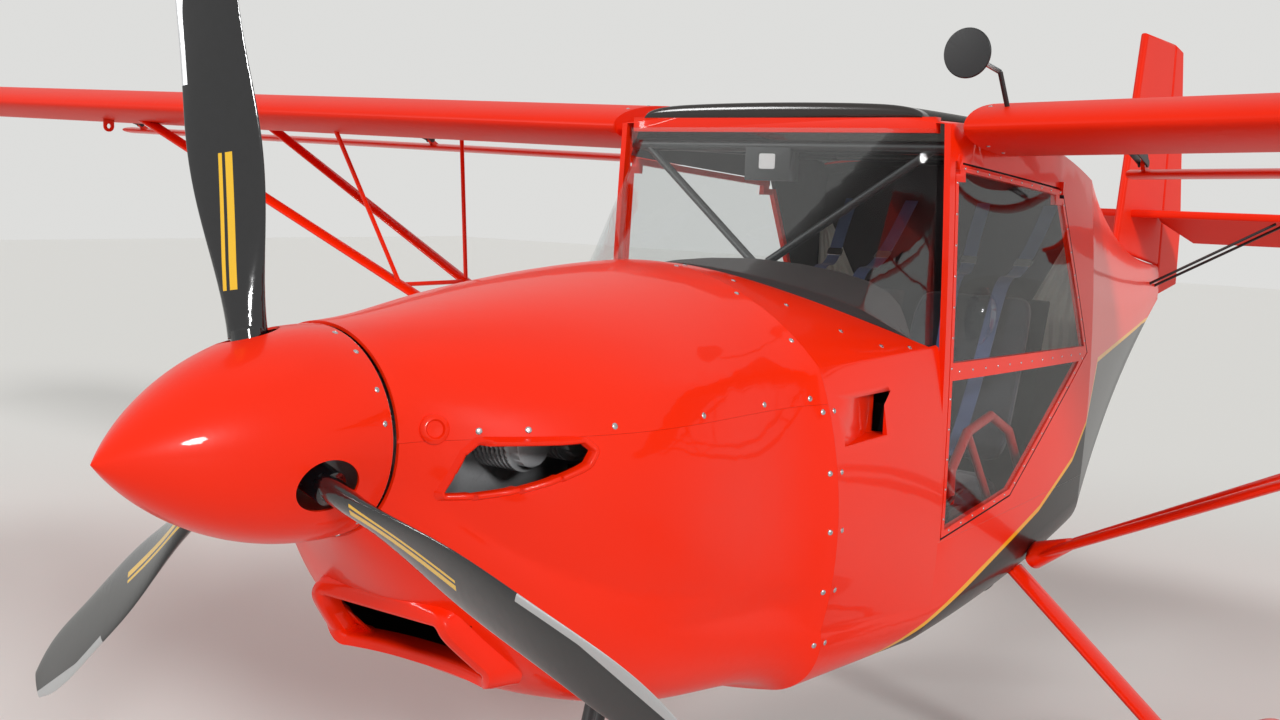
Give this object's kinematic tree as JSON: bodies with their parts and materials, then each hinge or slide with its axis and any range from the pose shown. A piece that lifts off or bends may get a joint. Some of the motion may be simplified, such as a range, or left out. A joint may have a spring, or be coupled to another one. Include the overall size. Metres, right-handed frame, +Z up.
{
  "type": "light sport aircraft",
  "caption": "High-wing light aircraft with a strut-braced fabric wing, side-by-side cabin under a clear roof, long pointed spinner and spatted nose-wheel gear.",
  "frame": {"origin": "on the floor under the middle of the whole length and span", "axes": "+X to the aircraft's own left, +Y to its tail, +Z up"},
  "size_m": [9.15, 5.98, 2.492],
  "materials": {
    "red_paint": "glossy",
    "red_fabric": "glossy painted cloth",
    "black_paint": "glossy",
    "bare_metal": "satin",
    "cast_metal": "matte",
    "steel_tube": "satin",
    "red_tube": "satin",
    "clear": "clear",
    "matte_black": "matte",
    "grey_cloth": "woven",
    "pale_lining": "woven",
    "tyre_rubber": "matte",
    "wheel_metal": "satin",
    "black_plastic": "satin"
  },
  "bodies": {
    "airframe": {"engine": "cast_metal", "firewall": "bare_metal", "engine_mount": "steel_tube", "cowl_upper": "red_paint", "cowl_lower": "red_paint", "windscreen": "clear", "forward_skin": "red_paint", "cabin_tub": "red_paint", "cabin_frame": "red_paint", "roof_panel": "clear", "instrument_panel": "matte_black", "cabin_tubes": "steel_tube", "seat_tubes": "red_tube", "seat_left": "grey_cloth", "seat_right": "grey_cloth", "rear_bulkhead": "pale_lining", "aft_fuselage": "red_paint", "wing_left": "red_fabric", "wing_right": "red_fabric", "flaperon_brackets_left": "steel_tube", "flaperon_brackets_right": "steel_tube", "lift_struts_left": "red_paint", "lift_struts_right": "red_paint", "fin": "red_fabric", "stabiliser": "red_fabric", "tail_braces": "steel_tube", "gear_leg_left": "red_paint", "gear_leg_right": "red_paint", "spat_left": "red_paint", "spat_right": "red_paint", "nose_leg": "steel_tube", "rear_view_mirror": "black_plastic"},
    "propeller": {"spinner": "red_paint", "propeller_hub": "bare_metal", "propeller_blade_1": "black_paint", "propeller_blade_2": "black_paint", "propeller_blade_3": "black_paint"},
    "main_wheel_left": {"main_left_wheel": "wheel_metal", "main_left_tyre": "tyre_rubber"},
    "main_wheel_right": {"main_right_wheel": "wheel_metal", "main_right_tyre": "tyre_rubber"},
    "nose_steering": {"nose_fork": "steel_tube", "nose_spat": "red_paint"},
    "nose_wheel_set": {"nose_wheel": "wheel_metal", "nose_tyre": "tyre_rubber"},
    "door_left": {"door_frame_left": "red_paint", "door_panes_left": "clear"},
    "door_right": {"door_frame_right": "red_paint", "door_panes_right": "clear"},
    "flaperon_set_left": {"flaperon_left": "red_paint"},
    "flaperon_set_right": {"flaperon_right": "red_paint"},
    "elevator_set": {"elevator": "red_fabric"},
    "rudder_set": {"rudder": "red_fabric"}
  },
  "joints": [
    {"name": "propeller_spin", "type": "hinge", "parent": "airframe", "child": "propeller", "pos_m": [0, -2.675, 1.292], "axis": [0, 1, 0], "continuous": true},
    {"name": "main_left_spin", "type": "hinge", "parent": "airframe", "child": "main_wheel_left", "pos_m": [1.16, -0.357, 0.175], "axis": [1, 0, 0], "continuous": true},
    {"name": "main_right_spin", "type": "hinge", "parent": "airframe", "child": "main_wheel_right", "pos_m": [-1.16, -0.357, 0.175], "axis": [1, 0, 0], "continuous": true},
    {"name": "nose_steer", "type": "hinge", "parent": "airframe", "child": "nose_steering", "pos_m": [0, -1.759, 0.414], "axis": [0, 0.308, 0.9514], "range_deg": [-25, 25]},
    {"name": "nose_spin", "type": "hinge", "parent": "nose_steering", "child": "nose_wheel_set", "pos_m": [0, -1.814, 0.16], "axis": [1, 0, 0], "continuous": true},
    {"name": "door_left_hinge", "type": "hinge", "parent": "airframe", "child": "door_left", "pos_m": [0.487, -0.969, 1.808], "axis": [0, -0.998, 0.0634], "range_deg": [0, 86]},
    {"name": "door_right_hinge", "type": "hinge", "parent": "airframe", "child": "door_right", "pos_m": [-0.487, -0.969, 1.808], "axis": [0, 0.998, -0.0634], "range_deg": [0, 86]},
    {"name": "flaperon_left_hinge", "type": "hinge", "parent": "airframe", "child": "flaperon_set_left", "pos_m": [0.516, 0.035, 1.852], "axis": [0.9996, 0, 0.0297], "range_deg": [-30, 20]},
    {"name": "flaperon_right_hinge", "type": "hinge", "parent": "airframe", "child": "flaperon_set_right", "pos_m": [-0.516, 0.035, 1.852], "axis": [0.9996, 0, -0.0297], "range_deg": [-30, 20]},
    {"name": "elevator_hinge", "type": "hinge", "parent": "airframe", "child": "elevator_set", "pos_m": [0, 2.535, 1.701], "axis": [1, 0, 0], "range_deg": [0, 55]},
    {"name": "rudder_hinge", "type": "hinge", "parent": "airframe", "child": "rudder_set", "pos_m": [0, 2.644, 1.892], "axis": [0, 0, 1], "range_deg": [-25, 25]}
  ]
}
